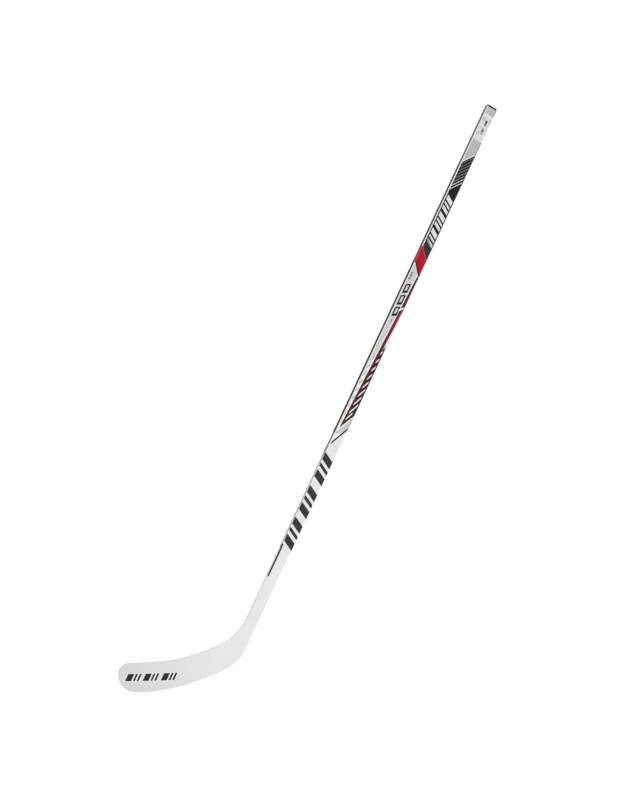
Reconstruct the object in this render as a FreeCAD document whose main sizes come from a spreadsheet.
import FreeCAD, Part
import math
import os
import Sketcher

# Ice hockey stick, a composite senior stick held in its playing position.
#
# Frame: millimetres, +Z up. The origin is the point where the blade's rockered bottom edge
# rests on the ice. The toe points to -X and curves away to +Y, so this is a left-handed
# stick. The shaft rises from the heel to +X and +Z at the lie angle.
#
# Shaft pieces are drawn upright, in a frame of their own: Z runs along the shaft's axis from
# the heel to the butt, X across its wide face towards the underside, Y through its depth.
# One placement, bound to the lie angle, turns them all into the playing position.

doc = FreeCAD.newDocument("ice_hockey_stick")
Vector = FreeCAD.Vector
TOUCHING = 1e-6

# ---------------------------------------------------------------------------------------
# Driving dimensions
# ---------------------------------------------------------------------------------------

DIMENSIONS = [
    # (alias, value, what it is)
    ("lie_angle", 47, "angle from the ice up to the shaft, a lie of 6"),
    ("shaft_length", 1524, "heel to butt, 60 inches"),
    ("shaft_width", 29, "wide face of the shaft"),
    ("shaft_depth", 19.4, "narrow face of the shaft"),
    ("shaft_corner", 5, "outer corner radius of the shaft"),
    ("shaft_wall", 1.8, "laminate wall of the shaft"),
    ("neck_depth", 15.6, "shaft depth where it meets the blade"),
    ("neck_corner", 4.6, "outer corner radius where the shaft meets the blade"),
    ("joint_height", 200, "heel to the joint of shaft and blade, along the shaft"),
    ("taper_length", 90, "stretch above the joint over which the shaft thins"),
    ("cap_flange", 4, "visible thickness of the butt plug"),
    ("cap_insert", 32, "depth of the butt plug inside the shaft"),
    ("cap_wall", 2.2, "wall of the butt plug's insert"),
    ("cap_clearance", 0.15, "gap round the butt plug's insert"),
    ("cap_round", 1.2, "rounding of the butt plug's outer edge"),
    ("cap_rib", 1.5, "width of each relief groove on the insert"),
    ("cap_rib_depth", 0.6, "depth of each relief groove on the insert"),
    ("tenon_length", 70, "length of the blade tenon inside the shaft"),
    ("tenon_corner", 2.6, "corner radius of the tenon"),
    ("glue_gap", 0.4, "adhesive between tenon and shaft at the joint"),
    ("dam_length", 25, "foam plug in the shaft above the tenon"),
    ("dam_distance", 12, "gap between the tenon and the foam plug"),
    ("film_thickness", 0.15, "printed transfer film with its clear coat"),
    ("label_thickness", 0.12, "paper of the stock label"),
    ("label_start", 24.5, "butt to the near end of the stock label"),
    ("label_length", 75, "length of the stock label"),
    ("label_face", 25.5, "part of the label on the wide face"),
    ("label_side", 9, "part of the label on the narrow face"),
    # Borders of the printed bands, from the butt, on the blade-side edge and on the underside
    ("black_start_upper", 172, "silver to black"),
    ("black_start_under", 134, ""),
    ("red_start_upper", 406, "black to red"),
    ("red_start_under", 444, ""),
    ("stripe_start_upper", 453, "red to silver with the stripe"),
    ("stripe_start_under", 492, ""),
    ("slash_start_upper", 684, "silver with the stripe to silver with the slashes"),
    ("slash_start_under", 718, ""),
    ("lower_start_upper", 959, "silver to white with the dark blocks"),
    ("lower_start_under", 900, ""),
    ("lower_end", 1230, "end of the lowest band"),
    # Blade
    ("heel_distance", 98.5, "ice contact to the heel point under the shaft"),
    ("toe_distance", 168.5, "ice contact to the tip of the toe"),
    ("toe_low_radius", 40, "lower rounding of the toe"),
    ("toe_high_radius", 44, "upper rounding of the toe"),
    ("toe_corner", 25, "rounding between the toe and the top edge"),
    ("rocker_radius", 550, "bottom edge"),
    ("heel_radius", 78, "rounding of the heel"),
    ("waist_height", 62, "lowest height of the top edge"),
    ("waist_distance", 28, "ice contact to the lowest point of the top edge"),
    ("top_radius", 440, "top edge"),
    ("straight_distance", 78, "ice contact to where the top edge runs on straight to the toe"),
    ("crook_radius", 118, "inside of the bend between shaft and blade"),
    ("heel_thickness", 11.6, "blade thickness at the top of the heel"),
    ("sole_thickness", 8.4, "blade thickness where the blade proper begins"),
    ("toe_thickness", 5.8, "blade thickness where the toe starts to round"),
    ("tip_thickness", 3.8, "blade thickness at the tip"),
    ("tip_height", 9, "height of the short flat at the tip"),
    ("blade_edge", 2.2, "edge radius of the blade"),
    ("tip_edge", 1.6, "edge radius at the tip"),
    ("curve_start", 82, "ice contact to the start of the curve, on the heel side"),
    ("toe_offset", 40, "how far the toe bends out of the shaft's plane"),
    ("skin", 1.2, "laminate skin of the blade"),
    ("bead", 3, "resin bead along the blade's edges"),
    ("bridge", 2.4, "laminate bridge between the two foam cores"),
    ("wrap_thickness", 0.35, "fibre overwrap on the joint"),
    ("wrap_above", 30, "overwrap above the joint"),
]

sheet = doc.addObject("Spreadsheet::Sheet", "Dimensions")
for row, (alias, value, meaning) in enumerate(DIMENSIONS, start=1):
    sheet.set(f"A{row}", alias)
    sheet.set(f"B{row}", str(value))
    sheet.set(f"C{row}", meaning)
    sheet.setAlias(f"B{row}", alias)
doc.recompute()


def size(alias):
    """A driving dimension as a plain number."""
    return float(sheet.get(alias))


# ---------------------------------------------------------------------------------------
# Helpers for the pieces that lie along the shaft
# ---------------------------------------------------------------------------------------

def origin_plane(body, role):
    return next(item for item in body.Origin.OriginFeatures if item.Role == role)


def new_body(label):
    body = doc.addObject("PartDesign::Body", label)
    body.Label = label
    return body


def stand_on_shaft(body):
    """Turns an upright piece into the playing position, its foot beside the heel point."""
    body.Placement = FreeCAD.Placement(Vector(), FreeCAD.Rotation(Vector(0, 1, 0), 10))
    body.setExpression("Placement.Rotation.Angle", "90 - Dimensions.lie_angle")
    body.setExpression(
        "Placement.Base.x",
        "Dimensions.heel_distance - Dimensions.shaft_width / 2 * sin(Dimensions.lie_angle * 1 deg)",
    )
    body.setExpression(
        "Placement.Base.z", "Dimensions.shaft_width / 2 * cos(Dimensions.lie_angle * 1 deg)"
    )


def bind(sketch, name, constraint, expression):
    index = sketch.addConstraint(constraint)
    sketch.renameConstraint(index, name)
    sketch.setExpression("Constraints." + name, expression)


def attach(body, sketch, role, height="0"):
    sketch.AttachmentSupport = [(origin_plane(body, role), "")]
    sketch.MapMode = "FlatFace"
    sketch.setExpression("AttachmentOffset.Base.z", height)


def draw_rounded_rectangle(sketch, width, depth, radius, prefix=""):
    """Adds a centred rounded rectangle, fully constrained and bound to three expressions."""
    first = sketch.GeometryCount
    half_x, half_y, corner = 14.0, 9.0, 3.0
    for side in range(4):
        turn = FreeCAD.Rotation(Vector(0, 0, 1), 90 * side)
        long_half, short_half = (half_x, half_y) if side % 2 == 0 else (half_y, half_x)
        start = turn.multVec(Vector(-long_half + corner, -short_half, 0))
        end = turn.multVec(Vector(long_half - corner, -short_half, 0))
        centre = turn.multVec(Vector(long_half - corner, -short_half + corner, 0))
        angle = math.radians(90 * side - 90)
        sketch.addGeometry(Part.LineSegment(start, end))
        circle = Part.Circle(centre, Vector(0, 0, 1), corner)
        sketch.addGeometry(Part.ArcOfCircle(circle, angle, angle + math.pi / 2))
    for piece in range(8):
        following = first + (piece + 1) % 8
        sketch.addConstraint(Sketcher.Constraint("Tangent", first + piece, 2, following, 1))
    for line, direction in ((0, "Horizontal"), (2, "Vertical"), (4, "Horizontal"), (6, "Vertical")):
        sketch.addConstraint(Sketcher.Constraint(direction, first + line))
    for arc in (3, 5, 7):
        sketch.addConstraint(Sketcher.Constraint("Equal", first + 1, first + arc))
    sketch.addConstraint(Sketcher.Constraint("Symmetric", first, 1, first + 4, 1, -1, 1))
    across = Sketcher.Constraint("DistanceX", first + 6, 1, first + 2, 1, 2 * half_x)
    through = Sketcher.Constraint("DistanceY", first, 1, first + 4, 1, 2 * half_y)
    bind(sketch, prefix + "width", across, width)
    bind(sketch, prefix + "depth", through, depth)
    bind(sketch, prefix + "radius", Sketcher.Constraint("Radius", first + 1, corner), radius)


def section_sketch(body, name, height, width, depth, radius):
    """A rounded rectangle across the shaft at a height along it."""
    sketch = body.newObject("Sketcher::SketchObject", name)
    attach(body, sketch, "XY_Plane", height)
    draw_rounded_rectangle(sketch, width, depth, radius)
    return sketch


def ring_sketch(body, name, height, outer, inner):
    """Two nested rounded rectangles: outer and inner are (width, depth, radius)."""
    sketch = body.newObject("Sketcher::SketchObject", name)
    attach(body, sketch, "XY_Plane", height)
    draw_rounded_rectangle(sketch, *outer)
    draw_rounded_rectangle(sketch, *inner, prefix="inner_")
    return sketch


def pad(body, name, sketch, length):
    feature = body.newObject("PartDesign::Pad", name)
    feature.Profile = (sketch, [""])
    feature.setExpression("Length", length)
    return feature


def cut_off(body, name, sketch):
    """A pocket through all, both ways from its sketch."""
    feature = body.newObject("PartDesign::Pocket", name)
    feature.Profile = (sketch, [""])
    feature.Type = "ThroughAll"
    feature.Midplane = True
    return feature


def loft(body, name, kind, sketches):
    feature = body.newObject(kind, name)
    feature.Profile = (sketches[0], [""])
    feature.Sections = [(sketch, [""]) for sketch in sketches[1:]]
    feature.Ruled = True
    return feature


D = "Dimensions."
SHAFT = (D + "shaft_width", D + "shaft_depth", D + "shaft_corner")
NECK = (D + "shaft_width", D + "neck_depth", D + "neck_corner")
TAPER_TOP = f"{D}joint_height + {D}taper_length"
TUBE_TOP = f"{D}shaft_length - {D}cap_flange"


def grown(section, amount):
    """The section expressions of a rounded rectangle grown by an amount all round."""
    width, depth, radius = section
    return (f"{width} + 2 * ({amount})", f"{depth} + 2 * ({amount})", f"{radius} + {amount}")


# ---------------------------------------------------------------------------------------
# Shaft
# ---------------------------------------------------------------------------------------

def tapered(height, top_value, bottom_value):
    """A value that changes evenly along the taper and stays put above it."""
    share = f"min(1; ({height} - {D}joint_height) / {D}taper_length)"
    return f"({bottom_value} + ({top_value} - {bottom_value}) * {share})"


def bore_section(height):
    """The inside of the shaft at a height along it."""
    depth = tapered(height, D + "shaft_depth", D + "neck_depth")
    radius = tapered(height, D + "shaft_corner", D + "neck_corner")
    return grown((D + "shaft_width", depth, radius), f"-{D}shaft_wall")


def make_shaft_tube():
    """The hollow laminate shaft: straight, thinning in depth just above the joint."""
    body = new_body("shaft_tube")
    wall = f"-{D}shaft_wall"
    outer = [
        section_sketch(body, "OuterJoint", D + "joint_height", *NECK),
        section_sketch(body, "OuterTaper", TAPER_TOP, *SHAFT),
        section_sketch(body, "OuterButt", TUBE_TOP, *SHAFT),
    ]
    loft(body, "Outside", "PartDesign::AdditiveLoft", outer)
    inner = [
        section_sketch(body, "InnerJoint", D + "joint_height", *grown(NECK, wall)),
        section_sketch(body, "InnerTaper", TAPER_TOP, *grown(SHAFT, wall)),
        section_sketch(body, "InnerButt", TUBE_TOP, *grown(SHAFT, wall)),
    ]
    loft(body, "Inside", "PartDesign::SubtractiveLoft", inner)
    stand_on_shaft(body)
    return body


RELIEF_PLACES = (0.3, 0.6)  # of the insert's depth, from the flange
CUTTER_MARGIN = 1  # how far a groove's cutter stands outside the insert


def make_butt_plug():
    """The moulded end plug: a flange as wide as the shaft and a hollow, grooved insert."""
    body = new_body("butt_plug")
    fit = f"-{D}shaft_wall - {D}cap_clearance"
    insert = grown(SHAFT, fit)
    flange = section_sketch(body, "FlangeOutline", TUBE_TOP, *SHAFT)
    pad(body, "Flange", flange, D + "cap_flange")
    outline = section_sketch(body, "InsertOutline", TUBE_TOP, *insert)
    stem = pad(body, "Insert", outline, D + "cap_insert")
    stem.Reversed = True
    hollow_outline = section_sketch(
        body, "HollowOutline", f"{TUBE_TOP} - {D}cap_insert", *grown(SHAFT, f"{fit} - {D}cap_wall")
    )
    hollow = body.newObject("PartDesign::Pocket", "Hollow")
    hollow.Profile = (hollow_outline, [""])
    hollow.setExpression("Length", D + "cap_insert")
    hollow.Reversed = True
    doc.recompute()
    for number, share in enumerate(RELIEF_PLACES, start=1):
        groove_outline = ring_sketch(
            body,
            f"ReliefOutline{number}",
            f"{TUBE_TOP} - {share} * {D}cap_insert",
            grown(SHAFT, f"{fit} + {CUTTER_MARGIN}"),
            grown(SHAFT, f"{fit} - {D}cap_rib_depth"),
        )
        groove = body.newObject("PartDesign::Pocket", f"Relief{number}")
        groove.Profile = (groove_outline, [""])
        groove.setExpression("Length", D + "cap_rib")
        doc.recompute()
    top = size("shaft_length")
    rim = [
        f"Edge{index}"
        for index, edge in enumerate(body.Shape.Edges, start=1)
        if min(vertex.Z for vertex in edge.Vertexes) > top - TOUCHING
    ]
    rounding = body.newObject("PartDesign::Fillet", "Rounding")
    rounding.Base = (groove, rim)
    rounding.setExpression("Radius", D + "cap_round")
    stand_on_shaft(body)
    return body


def make_foam_dam():
    """A foam plug that keeps loose adhesive out of the shaft."""
    body = new_body("shaft_foam_dam")
    start = f"{D}joint_height + {D}tenon_length + {D}dam_distance"
    end = f"{start} + {D}dam_length"
    lower = section_sketch(body, "Lower", start, *bore_section(start))
    upper = section_sketch(body, "Upper", end, *bore_section(end))
    loft(body, "Plug", "PartDesign::AdditiveLoft", [lower, upper])
    stand_on_shaft(body)
    return body


def tenon_section():
    """The tenon: the shaft's bore at the joint, less the adhesive."""
    inset = f"2 * ({D}shaft_wall + {D}glue_gap)"
    return (f"{D}shaft_width - {inset}", f"{D}neck_depth - {inset}", D + "tenon_corner")


def make_tenon_adhesive():
    """The adhesive sleeve that fills the shaft's bore round the tenon."""
    body = new_body("tenon_adhesive")
    top = f"{D}joint_height + {D}tenon_length"
    lower = section_sketch(body, "Lower", D + "joint_height", *bore_section(D + "joint_height"))
    upper = section_sketch(body, "Upper", top, *bore_section(top))
    loft(body, "Filling", "PartDesign::AdditiveLoft", [lower, upper])
    opening = section_sketch(body, "TenonOutline", D + "joint_height", *tenon_section())
    bore = body.newObject("PartDesign::Pocket", "TenonSeat")
    bore.Profile = (opening, [""])
    bore.setExpression("Length", D + "tenon_length")
    bore.Reversed = True
    stand_on_shaft(body)
    return body


def make_overwrap():
    """The fibre sleeve laid over the shaft just above the joint."""
    body = new_body("joint_overwrap")
    top = f"{D}joint_height + {D}wrap_above"
    outside = []
    for name, height in (("Joint", D + "joint_height"), ("Top", top)):
        depth = tapered(height, D + "shaft_depth", D + "neck_depth")
        radius = tapered(height, D + "shaft_corner", D + "neck_corner")
        outside.append((name, height, (D + "shaft_width", depth, radius)))
    outer = [
        section_sketch(body, "Outer" + name, height, *grown(section, D + "wrap_thickness"))
        for name, height, section in outside
    ]
    loft(body, "Outside", "PartDesign::AdditiveLoft", outer)
    inner = [section_sketch(body, "Inner" + name, height, *section) for name, height, section in outside]
    loft(body, "Inside", "PartDesign::SubtractiveLoft", inner)
    stand_on_shaft(body)
    return body


# ---------------------------------------------------------------------------------------
# Printed bands and label
# ---------------------------------------------------------------------------------------

BANDS = [
    # (label, start on the upper edge, start on the underside, end on the upper edge, end on the underside)
    ("butt_band_film", "cap_flange", "cap_flange", "black_start_upper", "black_start_under"),
    ("black_band_film", "black_start_upper", "black_start_under", "red_start_upper", "red_start_under"),
    ("red_band_film", "red_start_upper", "red_start_under", "stripe_start_upper", "stripe_start_under"),
    ("stripe_band_film", "stripe_start_upper", "stripe_start_under", "slash_start_upper", "slash_start_under"),
    ("slash_band_film", "slash_start_upper", "slash_start_under", "lower_start_upper", "lower_start_under"),
    ("lower_band_film", "lower_start_upper", "lower_start_under", "lower_end", "lower_end"),
]


def draw_quadrilateral(sketch, corners, prefix):
    """Four lines through corners given as (x expression, z expression)."""
    first = sketch.GeometryCount
    guess = [(-40, 0), (40, 0), (40, 90), (-40, 90)]
    spread = 1 if prefix == "band" else 2
    points = [Vector(x * spread, (z - 45) * spread + 45, 0) for x, z in guess]
    for number in range(4):
        sketch.addGeometry(Part.LineSegment(points[number], points[(number + 1) % 4]))
    for number in range(4):
        following = first + (number + 1) % 4
        sketch.addConstraint(Sketcher.Constraint("Coincident", first + number, 2, following, 1))
    for number, (across, along) in enumerate(corners):
        line = first + number
        guess_x, guess_z = points[number].x, points[number].y
        right = Sketcher.Constraint("DistanceX", -1, 1, line, 1, guess_x)
        up = Sketcher.Constraint("DistanceY", -1, 1, line, 1, guess_z)
        bind(sketch, f"{prefix}_x{number}", right, across)
        bind(sketch, f"{prefix}_z{number}", up, along)


def make_band(label, start_upper, start_under, end_upper, end_under):
    """A printed film round the shaft, between two slanted borders."""
    body = new_body(label)
    slack = D + "shaft_width"
    low = f"{D}shaft_length - max({D}{end_upper}; {D}{end_under}) - {slack}"
    high = f"{D}shaft_length - min({D}{start_upper}; {D}{start_under}) + {slack}"
    sleeve = ring_sketch(body, "Sleeve", low, grown(SHAFT, D + "film_thickness"), SHAFT)
    pad(body, "Film", sleeve, f"({high}) - ({low})")
    doc.recompute()

    def border(upper, under, side):
        """Height of a border line, carried on past both edges of the shaft."""
        middle = f"({D}{upper} + {D}{under}) / 2"
        return f"{D}shaft_length - ({middle} + {side} * ({D}{under} - {D}{upper}))"

    outline = body.newObject("Sketcher::SketchObject", "Borders")
    attach(body, outline, "XZ_Plane")
    left, right = f"-{D}shaft_width", D + "shaft_width"
    band = [
        (left, border(end_upper, end_under, -1)),
        (right, border(end_upper, end_under, 1)),
        (right, border(start_upper, start_under, 1)),
        (left, border(start_upper, start_under, -1)),
    ]
    low_end, high_end = f"{low} - 2 * {slack}", f"{high} + 2 * {slack}"
    frame = [
        (f"2 * {left}", low_end),
        (f"2 * {right}", low_end),
        (f"2 * {right}", high_end),
        (f"2 * {left}", high_end),
    ]
    draw_quadrilateral(outline, band, "band")
    draw_quadrilateral(outline, frame, "frame")
    cut_off(body, "Trim", outline)
    stand_on_shaft(body)
    return body


def make_label():
    """The stock label: wrapped from the wide face round the underside edge."""
    body = new_body("stock_label")
    low = f"{D}shaft_length - {D}label_start - {D}label_length"
    inside = grown(SHAFT, D + "film_thickness")
    sleeve = ring_sketch(
        body, "Sleeve", low, grown(SHAFT, f"{D}film_thickness + {D}label_thickness"), inside
    )
    pad(body, "Paper", sleeve, D + "label_length")
    doc.recompute()
    keep = body.newObject("Sketcher::SketchObject", "Keep")
    attach(body, keep, "XY_Plane", low)
    edge_x = f"{D}shaft_width / 2 - {D}label_face"
    edge_y = f"-{D}shaft_depth / 2 + {D}label_side"
    outside = f"2 * {D}shaft_width"
    waste = [
        (edge_x, f"-{outside}"),
        (edge_x, edge_y),
        (outside, edge_y),
        (outside, outside),
        (f"-{outside}", outside),
        (f"-{outside}", f"-{outside}"),
    ]
    guess = [Vector(-5, -50, 0), Vector(-5, 0, 0), Vector(50, 0, 0), Vector(50, 50, 0),
             Vector(-50, 50, 0), Vector(-50, -50, 0)]
    for number, point in enumerate(guess):
        keep.addGeometry(Part.LineSegment(point, guess[(number + 1) % len(guess)]))
    for number in range(len(guess)):
        following = (number + 1) % len(guess)
        keep.addConstraint(Sketcher.Constraint("Coincident", number, 2, following, 1))
    for number, (across, through) in enumerate(waste):
        right = Sketcher.Constraint("DistanceX", -1, 1, number, 1, guess[number].x)
        up = Sketcher.Constraint("DistanceY", -1, 1, number, 1, guess[number].y)
        bind(keep, f"x{number}", right, across)
        bind(keep, f"y{number}", up, through)
    cut_off(body, "Trim", keep)
    stand_on_shaft(body)
    return body


# ---------------------------------------------------------------------------------------
# Blade: outline, stations and sections
# ---------------------------------------------------------------------------------------
# The side view is made of tangent arcs: the rockered bottom edge runs into the heel, which
# runs into the shaft's underside, and the top edge runs into the crook, which runs into the
# shaft's upper side. Towards the toe the top edge runs on straight, and three arcs round the
# toe: a low one from the bottom edge, a high one from there up, and a corner to the top edge.
# A station is a straight line across the blade from its bottom edge to its top edge. Stations
# fan out round the heel, stand upright along the blade and shrink round the toe. The blade's
# layers are lofted through the same stations.

LIE = math.radians(size("lie_angle"))
ALONG = Vector(math.cos(LIE), 0, math.sin(LIE))
UNDER = Vector(math.sin(LIE), 0, -math.cos(LIE))
HEEL = Vector(size("heel_distance"), 0, 0)
UPPER_FOOT = HEEL - UNDER * size("shaft_width")


def facing_down(angle):
    """Unit vector straight down, swung towards the shaft's underside by an angle."""
    return Vector(math.sin(angle), 0, -math.cos(angle))


def arc_between(centre, radius, small_radius, foot, direction, inward):
    """A small arc tangent inside a big one and to a straight line.

    The line passes through foot along direction, and inward points from it to the small arc's
    centre. Returns that centre, the start angle and how far along the line the arc ends.
    """
    reach = foot + inward * small_radius - centre
    along = reach.dot(direction)
    slide = -along - math.sqrt(along ** 2 - reach.dot(reach) + (radius - small_radius) ** 2)
    offset = reach + direction * slide
    return centre + offset, math.atan2(offset.x, -offset.z), slide


ROCKER_CENTRE = Vector(0, 0, size("rocker_radius"))
TOP_CENTRE = Vector(size("waist_distance"), 0, size("waist_height") + size("top_radius"))
HEEL_CENTRE, HEEL_ANGLE, HEEL_SLIDE = arc_between(
    ROCKER_CENTRE, size("rocker_radius"), size("heel_radius"), HEEL, ALONG, -UNDER
)
CROOK_CENTRE, CROOK_ANGLE, CROOK_SLIDE = arc_between(
    TOP_CENTRE, size("top_radius"), size("crook_radius"), UPPER_FOOT, ALONG, -UNDER
)


def bottom_at_angle(angle):
    if angle > HEEL_ANGLE:
        return HEEL_CENTRE + facing_down(angle) * size("heel_radius")
    return ROCKER_CENTRE + facing_down(angle) * size("rocker_radius")


def top_at_angle(angle):
    if angle > CROOK_ANGLE:
        return CROOK_CENTRE + facing_down(angle) * size("crook_radius")
    return TOP_CENTRE + facing_down(angle) * size("top_radius")


def under_arc(centre, radius, x):
    """Height of the lower half of an arc at a place along the blade."""
    return centre.z - math.sqrt(radius ** 2 - (x - centre.x) ** 2)


def over_arc(centre, radius, x):
    """Height of the upper half of an arc at a place along the blade."""
    return centre.z + math.sqrt(radius ** 2 - (x - centre.x) ** 2)


def touching_x(centre, radius, small_centre, small_radius):
    """Where along the blade a small arc touches the big one it lies in."""
    share = radius / (radius - small_radius)
    return centre.x + (small_centre.x - centre.x) * share


def low_toe_centre():
    """Centre of the arc that touches the bottom edge and the tip of the toe."""
    x = size("toe_low_radius") - size("toe_distance")
    reach = size("rocker_radius") - size("toe_low_radius")
    return Vector(x, 0, ROCKER_CENTRE.z - math.sqrt(reach ** 2 - x ** 2))


STRAIGHT_X = -size("straight_distance")
STRAIGHT_ANGLE = math.asin((TOP_CENTRE.x - STRAIGHT_X) / size("top_radius"))
STRAIGHT_FOOT = Vector(STRAIGHT_X, 0, under_arc(TOP_CENTRE, size("top_radius"), STRAIGHT_X))
LOW_TOE = low_toe_centre()
HIGH_TOE = Vector(size("toe_high_radius") - size("toe_distance"), 0, LOW_TOE.z)
CORNER, _, _ = arc_between(
    HIGH_TOE,
    size("toe_high_radius"),
    size("toe_corner"),
    STRAIGHT_FOOT,
    Vector(math.cos(STRAIGHT_ANGLE), 0, -math.sin(STRAIGHT_ANGLE)),
    Vector(-math.sin(STRAIGHT_ANGLE), 0, -math.cos(STRAIGHT_ANGLE)),
)
LOW_TOE_X = touching_x(ROCKER_CENTRE, size("rocker_radius"), LOW_TOE, size("toe_low_radius"))
HIGH_TOE_X = touching_x(HIGH_TOE, size("toe_high_radius"), CORNER, size("toe_corner"))
CORNER_X = CORNER.x + size("toe_corner") * math.sin(STRAIGHT_ANGLE)


def bottom_at(x):
    if x < LOW_TOE_X:
        return under_arc(LOW_TOE, size("toe_low_radius"), x)
    return under_arc(ROCKER_CENTRE, size("rocker_radius"), x)


def top_at(x):
    if x < HIGH_TOE_X:
        return over_arc(HIGH_TOE, size("toe_high_radius"), x)
    if x < CORNER_X:
        return over_arc(CORNER, size("toe_corner"), x)
    if x < STRAIGHT_X:
        return STRAIGHT_FOOT.z + (STRAIGHT_X - x) * math.tan(STRAIGHT_ANGLE)
    return under_arc(TOP_CENTRE, size("top_radius"), x)


def tip_x():
    """The place where the toe's two big arcs are as far apart as the flat at the tip."""
    spread = math.sqrt(size("toe_low_radius")) + math.sqrt(size("toe_high_radius"))
    return size("tip_height") ** 2 / (2 * spread ** 2) - size("toe_distance")


def between(first, last, share):
    return first + (last - first) * share


def curve_at(x):
    """How far the blade's middle surface lies out of the shaft's plane."""
    span = size("curve_start") + size("toe_distance")
    past = max(0.0, size("curve_start") - x)
    return size("toe_offset") * (past / span) ** 2


class Station:
    """A line across the blade, with the blade's thickness and edge radius there."""

    def __init__(self, bottom, top, thickness, edge):
        self.bottom = bottom
        self.top = top
        self.thickness = thickness
        self.edge = edge
        self.height = (top - bottom).Length
        self.upward = (top - bottom) / self.height
        self.middle = curve_at((bottom.x + top.x) / 2)

    def point(self, up, out):
        """A point at a height above the bottom edge and a distance off the middle surface."""
        place = self.bottom + self.upward * up
        return Vector(place.x, self.middle + out, place.z)


NECK_STEPS = 5
HEEL_STEPS = 5
BLADE_STEPS = 7
TOE_STEPS = 10
TOE_BEAD_STEPS = 3
TENON_STATION = 2


def make_stations():
    stations = []
    joint = size("joint_height")
    for step in range(NECK_STEPS + 1):
        share = step / NECK_STEPS
        stations.append(Station(
            HEEL + ALONG * between(joint, HEEL_SLIDE, share),
            UPPER_FOOT + ALONG * between(joint, CROOK_SLIDE, share),
            between(size("neck_depth"), size("heel_thickness"), share),
            between(size("neck_corner"), size("blade_edge"), share),
        ))
    last_angle = max(HEEL_ANGLE, CROOK_ANGLE)
    for step in range(1, HEEL_STEPS + 1):
        share = step / HEEL_STEPS
        angle = between(LIE, last_angle, share)
        stations.append(Station(
            bottom_at_angle(angle),
            top_at_angle(angle),
            between(size("heel_thickness"), size("sole_thickness"), share),
            size("blade_edge"),
        ))
    start = (stations[-1].bottom.x + stations[-1].top.x) / 2
    lean = stations[-1].top.x - stations[-1].bottom.x
    toe_start = max(LOW_TOE.x, HIGH_TOE.x)
    for step in range(1, BLADE_STEPS + 1):
        share = step / BLADE_STEPS
        x = between(start, toe_start, share)
        stations.append(upright_station(x, lean * max(0.0, 1 - 2 * share), share))
    for step in range(1, TOE_STEPS + 1):
        share = step / TOE_STEPS
        x = between(toe_start, tip_x(), math.sin(share * math.pi / 2))
        station = upright_station(x, 0.0, 1.0)
        station.thickness = between(size("toe_thickness"), size("tip_thickness"), share ** 2)
        station.edge = between(size("blade_edge"), size("tip_edge"), share)
        stations.append(station)
    return stations


def upright_station(x, lean, share):
    """A station across the blade at x, leaning a little near the heel."""
    low_x, high_x = x - lean / 2, x + lean / 2
    return Station(
        Vector(low_x, 0, bottom_at(low_x)),
        Vector(high_x, 0, top_at(high_x)),
        between(size("sole_thickness"), size("toe_thickness"), share),
        size("blade_edge"),
    )


STATIONS = make_stations()
CORE_START = NECK_STEPS + HEEL_STEPS
TOE_BEAD_START = len(STATIONS) - TOE_BEAD_STEPS - 1


def arc_edge(station, start, corner, end):
    """A round corner: start and end lie a radius away from the sharp corner."""
    bulge = (1 - math.sqrt(0.5))
    middle = tuple(c + bulge * (s + e - 2 * c) for s, c, e in zip(start, corner, end))
    return Part.Arc(station.point(*start), station.point(*middle), station.point(*end)).toShape()


def outline_wire(station, corners):
    """A closed wire through (up, out, radius) corners, rounding those with a radius."""
    edges = []
    count = len(corners)
    entries = []
    for number, (up, out, radius) in enumerate(corners):
        before = corners[number - 1]
        after = corners[(number + 1) % count]
        entries.append((
            shifted((up, out), (before[0], before[1]), radius),
            (up, out),
            shifted((up, out), (after[0], after[1]), radius),
            radius,
        ))
    for number, (enter, corner, leave, radius) in enumerate(entries):
        if radius > 0:
            edges.append(arc_edge(station, enter, corner, leave))
        following = entries[(number + 1) % count][0]
        edges.append(Part.makeLine(station.point(*leave), station.point(*following)))
    return Part.Wire(edges)


def shifted(corner, towards, distance):
    """A point a distance from a corner towards another point."""
    step = (towards[0] - corner[0], towards[1] - corner[1])
    length = math.hypot(*step)
    return (corner[0] + step[0] / length * distance, corner[1] + step[1] / length * distance)


def blade_loft(stations, corners_at):
    wires = [outline_wire(station, corners_at(station)) for station in stations]
    return Part.makeLoft(wires, True, False)


def add_feature(label, shape):
    feature = doc.addObject("Part::Feature", label)
    feature.Label = label
    feature.Shape = shape
    feature.Placement = FreeCAD.Placement()
    return feature


def skin_corners(side):
    """Half of the blade's laminate skin, open towards the middle surface."""
    def corners(station):
        skin, edge = size("skin"), station.edge
        half, height = station.thickness / 2 * side, station.height
        inner_half, inner_edge = (station.thickness / 2 - skin) * side, edge - skin
        return [
            (0, 0, 0), (0, half, edge), (height, half, edge), (height, 0, 0),
            (height - skin, 0, 0), (height - skin, inner_half, inner_edge),
            (skin, inner_half, inner_edge), (skin, 0, 0),
        ]
    return corners


def cavity_corners(low, high, round_low, round_high):
    """A layer of the space between the skins; low and high are functions of the station."""
    def corners(station):
        half = station.thickness / 2 - size("skin")
        radius = station.edge - size("skin")
        bottom, top = low(station), high(station)
        low_radius = radius if round_low else 0
        high_radius = radius if round_high else 0
        return [
            (bottom, -half, low_radius), (bottom, half, low_radius),
            (top, half, high_radius), (top, -half, high_radius),
        ]
    return corners


def cavity_bottom(station):
    return size("skin")


def cavity_top(station):
    return station.height - size("skin")


def bead_bottom_top(station):
    return size("skin") + size("bead")


def bead_top_bottom(station):
    return station.height - size("skin") - size("bead")


def bridge_bottom(station):
    return station.height / 2 - size("bridge") / 2


def bridge_top(station):
    return station.height / 2 + size("bridge") / 2


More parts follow.
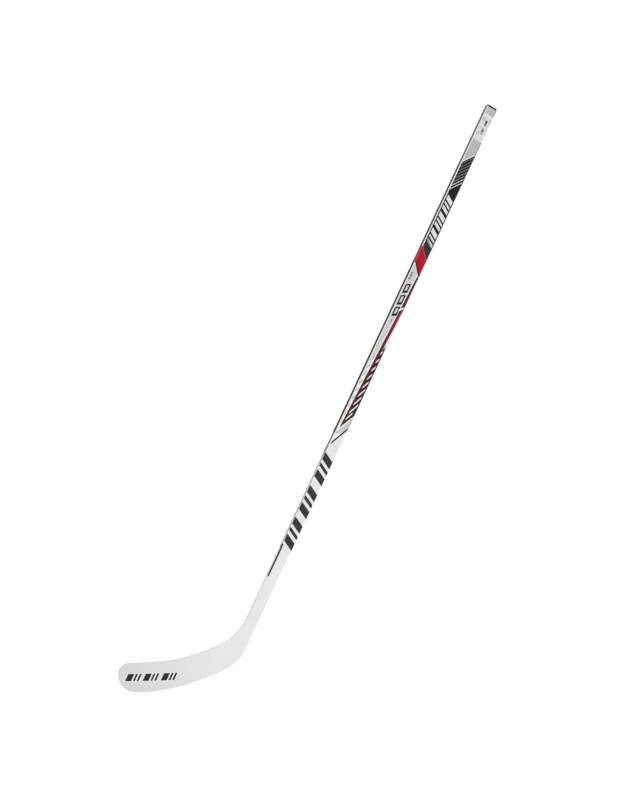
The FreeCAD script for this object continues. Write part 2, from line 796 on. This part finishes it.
def make_blade():
    """The blade's skins, cores, beads and tenon."""
    blade_stations = STATIONS[CORE_START:TOE_BEAD_START + 1]
    pieces = [
        ("backhand_skin", STATIONS, skin_corners(-1)),
        ("forehand_skin", STATIONS, skin_corners(1)),
        ("heel_core", STATIONS[TENON_STATION:CORE_START + 1],
         cavity_corners(cavity_bottom, cavity_top, True, True)),
        ("bottom_edge_bead", blade_stations,
         cavity_corners(cavity_bottom, bead_bottom_top, True, False)),
        ("lower_foam_core", blade_stations,
         cavity_corners(bead_bottom_top, bridge_bottom, False, False)),
        ("core_bridge", blade_stations,
         cavity_corners(bridge_bottom, bridge_top, False, False)),
        ("upper_foam_core", blade_stations,
         cavity_corners(bridge_top, bead_top_bottom, False, False)),
        ("top_edge_bead", blade_stations,
         cavity_corners(bead_top_bottom, cavity_top, False, True)),
        ("toe_bead", STATIONS[TOE_BEAD_START:],
         cavity_corners(cavity_bottom, cavity_top, True, True)),
    ]
    features = [
        add_feature(label, blade_loft(stations, corners)) for label, stations, corners in pieces
    ]
    features.append(make_tenon())
    return features


def make_tenon():
    """The laminated tenon: a straight peg in the shaft on a foot that fills the neck."""
    foot = blade_loft(
        STATIONS[:TENON_STATION + 1], cavity_corners(cavity_bottom, cavity_top, True, True)
    )
    inset = size("shaft_wall") + size("glue_gap")
    joint = size("joint_height")
    half = size("neck_depth") / 2 - inset
    radius = size("tenon_corner")
    face = Station(HEEL + ALONG * joint, UPPER_FOOT + ALONG * joint, 0, 0)
    high = size("shaft_width") - inset
    corners = [
        (inset, -half, radius), (inset, half, radius), (high, half, radius), (high, -half, radius)
    ]
    peg = Part.Face(outline_wire(face, corners)).extrude(ALONG * size("tenon_length"))
    return add_feature("blade_tenon", foot.fuse(peg).removeSplitter())


# ---------------------------------------------------------------------------------------
# Build, check and write
# ---------------------------------------------------------------------------------------

pieces = [
    make_shaft_tube(),
    make_butt_plug(),
    make_foam_dam(),
    make_tenon_adhesive(),
    make_overwrap(),
    make_label(),
]
pieces += [make_band(*band) for band in BANDS]
pieces += make_blade()
doc.recompute()

for item in doc.Objects:
    if "Invalid" in item.State or "Error" in item.State:
        raise RuntimeError(f"{item.Name} did not recompute: {item.State}")

for piece in pieces:
    shape = piece.Shape
    if shape.isNull() or not shape.isValid() or not shape.Solids:
        raise RuntimeError(f"{piece.Label} is not a valid solid")

os.makedirs("parts", exist_ok=True)
for piece in pieces:
    piece.Shape.exportStep(f"parts/{piece.Label}.step")
    print(f"{piece.Label}: {piece.Shape.Volume / 1000:.2f} cm3, {len(piece.Shape.Solids)} solid")
